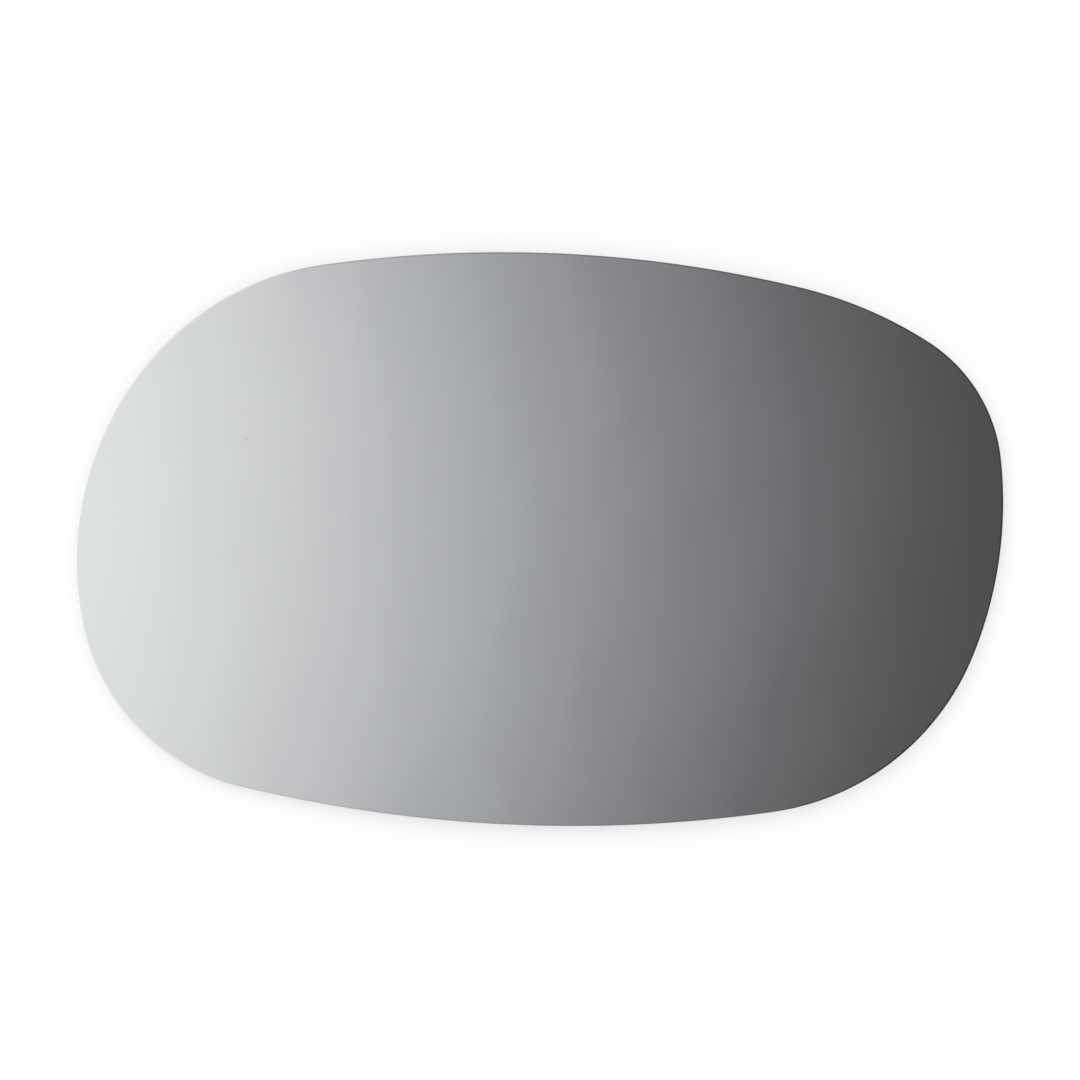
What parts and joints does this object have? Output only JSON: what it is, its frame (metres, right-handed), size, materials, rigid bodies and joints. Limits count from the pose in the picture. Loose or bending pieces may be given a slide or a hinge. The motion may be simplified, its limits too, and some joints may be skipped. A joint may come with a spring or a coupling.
{
  "type": "car door mirror glass",
  "caption": "Convex door mirror glass: a thin pane bent to a shallow dome, with a rounded asymmetric outline, a ground and seamed edge, a mirror front and a dark hollow back.",
  "frame": {"origin": "under the middle of the pane's box, at the height of the rim that it lies on", "axes": "+X right and +Y up as the mirror is looked at on the car, +Z out of the mirror face"},
  "size_m": [0.166, 0.1026, 0.0045],
  "materials": {
    "mirror_glass": "polished convex mirror coating, ground edge, dark backing paint"
  },
  "bodies": {
    "root": {"mirror_glass": "mirror_glass"}
  },
  "joints": []
}
